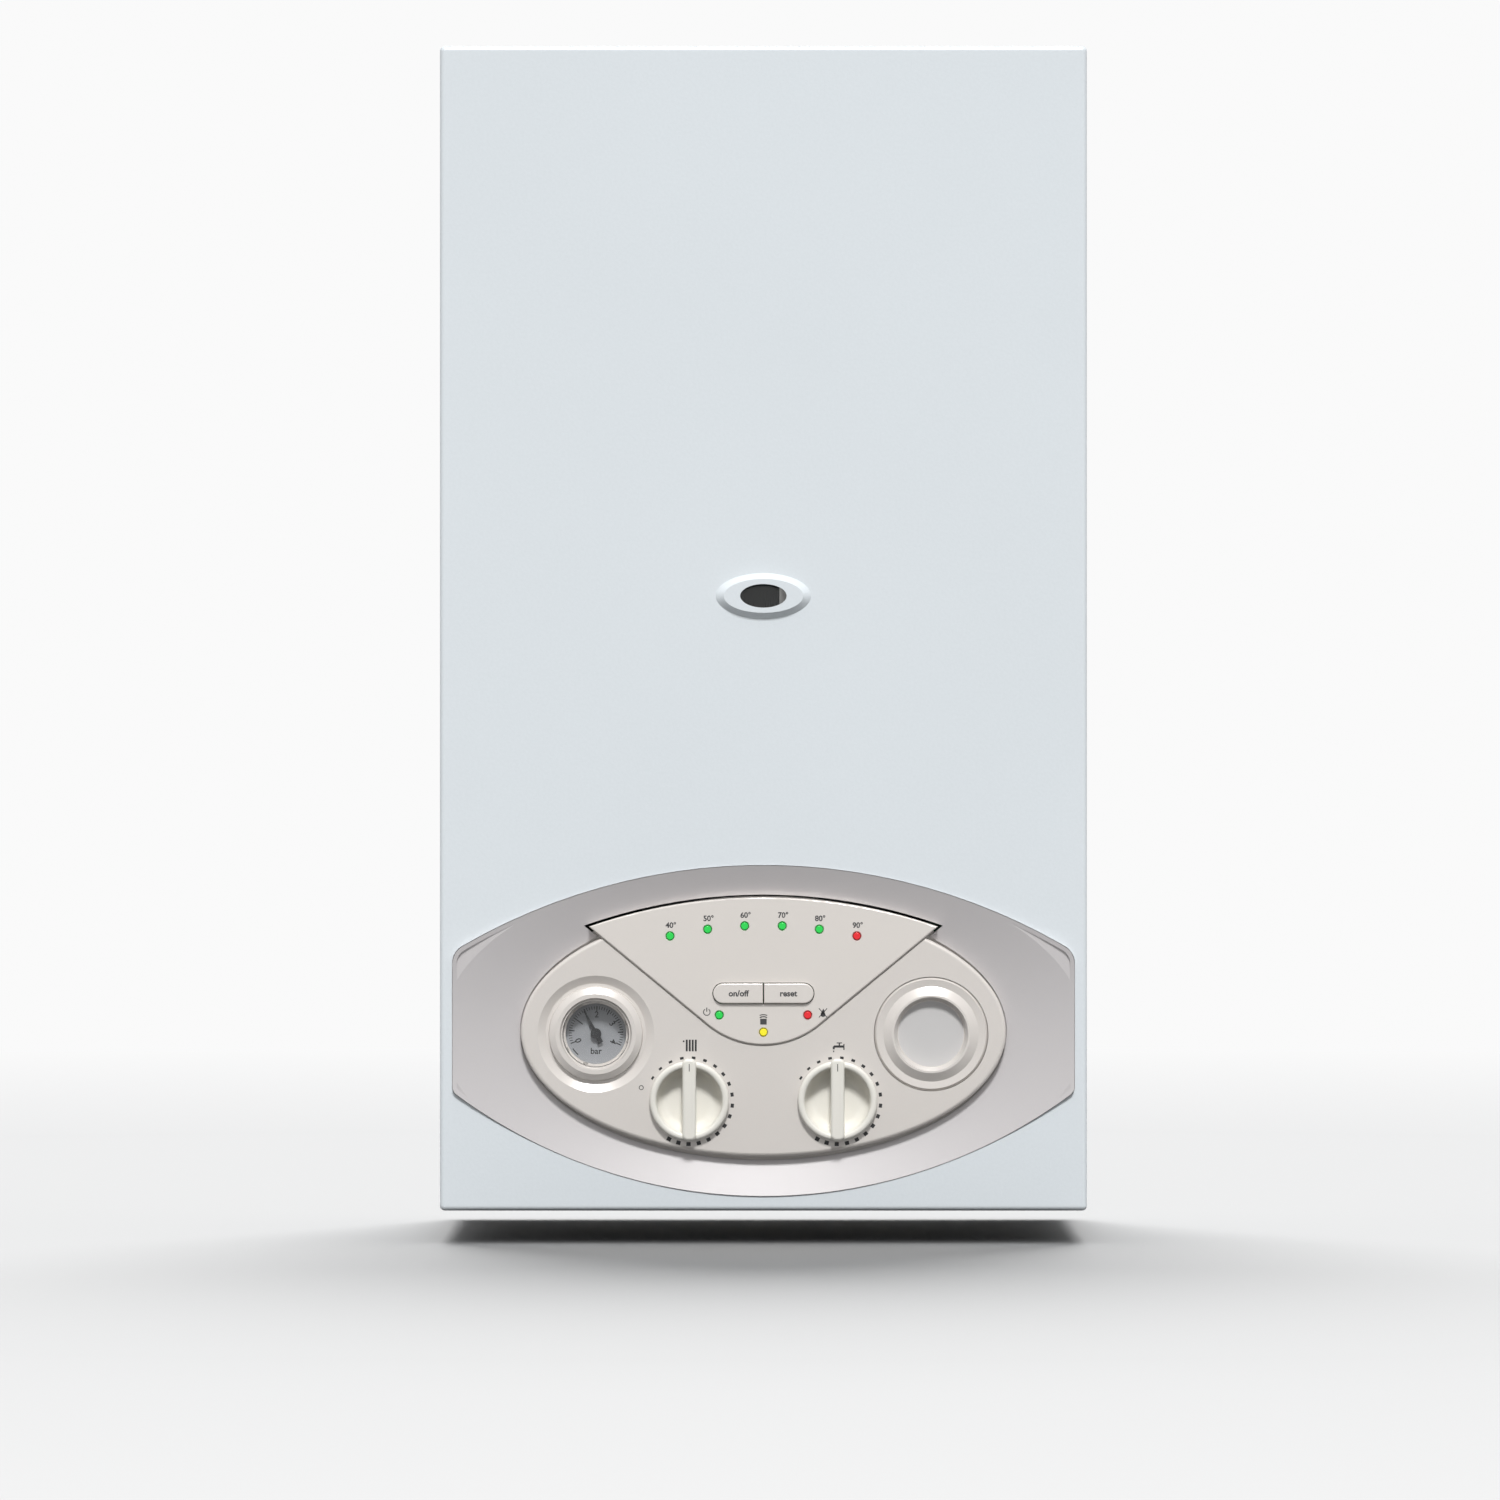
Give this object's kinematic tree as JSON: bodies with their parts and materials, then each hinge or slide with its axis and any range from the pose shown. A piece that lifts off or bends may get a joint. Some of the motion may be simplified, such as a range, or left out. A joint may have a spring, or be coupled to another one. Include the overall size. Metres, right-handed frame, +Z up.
{
  "type": "combi boiler",
  "caption": "Wall-hung combi boiler with a folded white casing, an oval sight hole and an eye-shaped control panel with gauge, knobs, keys and lamps.",
  "frame": {"origin": "wall plane at the middle of the casing's underside", "axes": "+X right seen from the front, +Y into the wall, +Z up"},
  "size_m": [0.4, 0.3075, 0.72],
  "materials": {
    "casing_paint": "satin",
    "galvanised_steel": "satin",
    "fascia_plastic": "satin",
    "panel_plastic": "satin",
    "shield_plastic": "satin",
    "knob_plastic": "gloss",
    "housing_plastic": "matte",
    "green_lens": "gloss",
    "yellow_lens": "gloss",
    "red_lens": "gloss",
    "gauge_face": "matte",
    "clear_glass": "gloss",
    "sight_glass": "gloss",
    "needle_black": "matte",
    "copper": "satin",
    "brass": "satin",
    "aluminium": "satin",
    "seal_rubber": "matte",
    "ceramic_board": "matte",
    "vessel_paint": "satin",
    "pump_iron": "matte",
    "board_green": "satin",
    "handle_black": "satin",
    "handle_red": "satin"
  },
  "bodies": {
    "chassis": {"back_frame": "galvanised_steel", "left_side_panel": "casing_paint", "right_side_panel": "casing_paint", "top_panel": "casing_paint", "bottom_tray": "galvanised_steel", "sheet_screws": "galvanised_steel", "hinge_pins": "galvanised_steel", "chamber_box": "galvanised_steel", "chamber_seal": "seal_rubber", "chamber_cover": "galvanised_steel", "sight_glass": "sight_glass", "sight_frame": "galvanised_steel", "combustion_shell": "galvanised_steel", "insulation_boards": "ceramic_board", "exchanger_tubes": "copper", "exchanger_fins": "copper", "burner_bars": "galvanised_steel", "gas_manifold": "brass", "electrodes": "ceramic_board", "flue_hood": "galvanised_steel", "fan_housing": "aluminium", "fan_motor": "aluminium", "flue_spigot": "aluminium", "air_pressure_switch": "housing_plastic", "expansion_vessel": "vessel_paint", "plate_exchanger": "galvanised_steel", "pipe_stubs": "brass", "flow_group": "brass", "diverter_motor": "housing_plastic", "return_group": "brass", "pump_body": "pump_iron", "pump_motor": "pump_iron", "air_vent": "brass", "gas_valve": "aluminium", "gas_pipe": "brass", "water_pipes": "copper", "relief_valve": "brass", "filling_tap": "brass", "cable_gland": "pump_iron"},
    "cover": {"front_cover": "casing_paint"},
    "control_box": {"fascia": "fascia_plastic", "oval_panel": "panel_plastic", "display_shield": "shield_plastic", "green_lenses": "green_lens", "yellow_lens": "yellow_lens", "red_lenses": "red_lens", "gauge_case": "gauge_face", "gauge_lens": "clear_glass", "clock_cap": "panel_plastic", "circuit_board": "board_green", "control_housing": "housing_plastic"},
    "heating_dial": {"heating_knob": "knob_plastic"},
    "hot_water_dial": {"hot_water_knob": "knob_plastic"},
    "power_key": {"power_button": "shield_plastic"},
    "reset_key": {"reset_button": "shield_plastic"},
    "gauge_pointer": {"gauge_needle": "needle_black"},
    "fan_wheel": {"fan_impeller": "aluminium"},
    "pump_wheel": {"pump_impeller": "pump_iron"},
    "relief_handle": {"relief_knob": "handle_red"},
    "filling_handle": {"filling_knob": "handle_black"}
  },
  "joints": [
    {"name": "cover_slide", "type": "slide", "parent": "chassis", "child": "cover", "axis": [0, -1, 0], "range_m": [0, 0.3]},
    {"name": "control_box_tilt", "type": "hinge", "parent": "chassis", "child": "control_box", "pos_m": [0, -0.276, 0.022], "axis": [1, 0, 0], "range_deg": [0, 60]},
    {"name": "heating_turn", "type": "hinge", "parent": "control_box", "child": "heating_dial", "pos_m": [-0.0458, -0.3, 0.068], "axis": [0, 1, 0], "range_deg": [-74, 208]},
    {"name": "hot_water_turn", "type": "hinge", "parent": "control_box", "child": "hot_water_dial", "pos_m": [0.0458, -0.3, 0.068], "axis": [0, 1, 0], "range_deg": [-58, 208]},
    {"name": "power_press", "type": "slide", "parent": "control_box", "child": "power_key", "axis": [0, 1, 0], "range_m": [0, 0.0015], "stiffness_N_per_m": 800},
    {"name": "reset_press", "type": "slide", "parent": "control_box", "child": "reset_key", "axis": [0, 1, 0], "range_m": [0, 0.0015], "stiffness_N_per_m": 800},
    {"name": "gauge_swing", "type": "hinge", "parent": "control_box", "child": "gauge_pointer", "pos_m": [-0.1036, -0.3, 0.1093], "axis": [0, 1, 0], "range_deg": [-84, 143]},
    {"name": "fan_spin", "type": "hinge", "parent": "chassis", "child": "fan_wheel", "pos_m": [-0.022, -0.15, 0.622], "axis": [0, 1, 0], "continuous": true},
    {"name": "pump_spin", "type": "hinge", "parent": "chassis", "child": "pump_wheel", "pos_m": [0.128, -0.112, 0.15], "axis": [0, 1, 0], "continuous": true},
    {"name": "relief_turn", "type": "hinge", "parent": "chassis", "child": "relief_handle", "pos_m": [0.087, -0.16, 0.089], "axis": [0, -1, 0], "range_deg": [0, 90]},
    {"name": "filling_turn", "type": "hinge", "parent": "chassis", "child": "filling_handle", "pos_m": [0.065, -0.152, 0.03], "axis": [0, 0, 1], "range_deg": [0, 270]}
  ],
  "couplings": [
    {"joint": "control_box_tilt", "follows": "cover_slide", "rad_per_m": 3.49}
  ]
}
